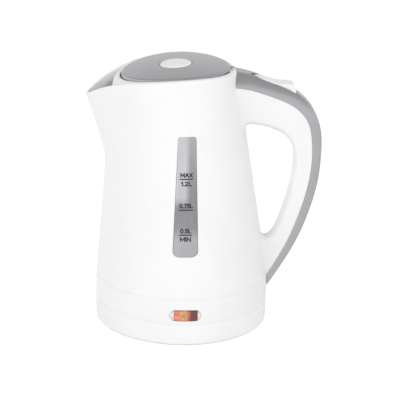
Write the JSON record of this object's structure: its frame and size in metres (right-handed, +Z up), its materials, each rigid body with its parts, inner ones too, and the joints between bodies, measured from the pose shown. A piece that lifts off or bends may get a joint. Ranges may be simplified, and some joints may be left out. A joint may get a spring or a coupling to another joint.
{
  "type": "electric kettle",
  "caption": "Cordless electric kettle with a tapered jug, drawn-out spout, arched handle, water gauge and hinged lid, standing on a round power base.",
  "frame": {"origin": "on the power base's axis, where its feet stand on the table", "axes": "+Z up, +X towards the handle, -X towards the spout, -Y towards the front with the water gauge"},
  "size_m": [0.1953, 0.1483, 0.2204],
  "materials": {
    "white_plastic": "satin",
    "white_cover": "matte",
    "grey_plastic": "satin",
    "clear_gauge": "gloss",
    "lamp_clear": "gloss",
    "lamp_glow": "gloss",
    "black_plastic": "matte",
    "rubber": "matte",
    "steel": "brushed",
    "aluminium": "satin",
    "brass": "satin",
    "mesh": "matte",
    "wire_cover": "satin"
  },
  "bodies": {
    "power_base": {"base_housing": "white_plastic", "base_bottom_cover": "white_cover", "base_feet": "rubber", "base_screws": "steel", "base_socket": "black_plastic", "base_live_contact": "brass", "base_neutral_contact": "brass", "base_earth_contact": "steel", "socket_screws": "steel", "cord_gland": "rubber"},
    "kettle": {"jug_body": "white_plastic", "lower_skirt": "white_plastic", "top_collar": "white_plastic", "kettle_bottom_cover": "white_cover", "filter_frame": "white_cover", "handle_cover": "grey_plastic", "water_gauge": "clear_gauge", "lamp_lens": "lamp_clear", "neon_lamp": "lamp_glow", "control_housing": "black_plastic", "steam_switch": "black_plastic", "lamp_holder": "black_plastic", "plate_seal": "rubber", "heater_plate": "steel", "clamp_ring": "steel", "bottom_cover_screws": "steel", "clamp_screws": "steel", "control_screws": "steel", "handle_screw": "steel", "lever_pin": "steel", "rocker_pin": "steel", "lid_hinge_pin": "steel", "lid_spring": "steel", "earth_ring": "steel", "heat_spreader": "aluminium", "heating_element": "aluminium", "live_pin": "brass", "neutral_ring": "brass", "element_terminals": "brass", "switch_blades": "brass", "bimetal_disc": "brass", "boil_dry_discs": "brass", "filter_mesh": "mesh", "handle_wires": "wire_cover"},
    "lid": {"lid_cover": "grey_plastic", "lid_liner": "white_plastic", "button_spring": "steel"},
    "button": {"lid_button": "white_plastic"},
    "latch": {"lid_latch": "white_cover"},
    "lever": {"switch_lever": "white_plastic"},
    "rocker": {"trip_rocker": "black_plastic"}
  },
  "joints": [
    {"name": "kettle_lift", "type": "slide", "parent": "power_base", "child": "kettle", "axis": [0, 0, 1], "range_m": [0, 0.1]},
    {"name": "lid_hinge", "type": "hinge", "parent": "kettle", "child": "lid", "pos_m": [0.03862, 0, 0.21282], "axis": [0, 1, 0], "range_deg": [0, 80]},
    {"name": "button_press", "type": "slide", "parent": "lid", "child": "button", "axis": [0, 0, -1], "range_m": [0, 0.003], "stiffness_N_per_m": 300, "deforming": ["button_spring"]},
    {"name": "latch_slide", "type": "slide", "parent": "lid", "child": "latch", "axis": [1, 0, 0], "range_m": [0, 0.003]},
    {"name": "lever_tilt", "type": "hinge", "parent": "kettle", "child": "lever", "pos_m": [0.06595, 0, 0.1984], "axis": [0, 1, 0], "range_deg": [0, 9]},
    {"name": "rocker_trip", "type": "hinge", "parent": "kettle", "child": "rocker", "pos_m": [0.06595, 0, 0.1829], "axis": [0, 1, 0], "range_deg": [-10.93, 0]}
  ],
  "couplings": [
    {"joint": "latch_slide", "follows": "button_press", "ratio": 1},
    {"joint": "rocker_trip", "follows": "lever_tilt", "ratio": -1.2143}
  ]
}
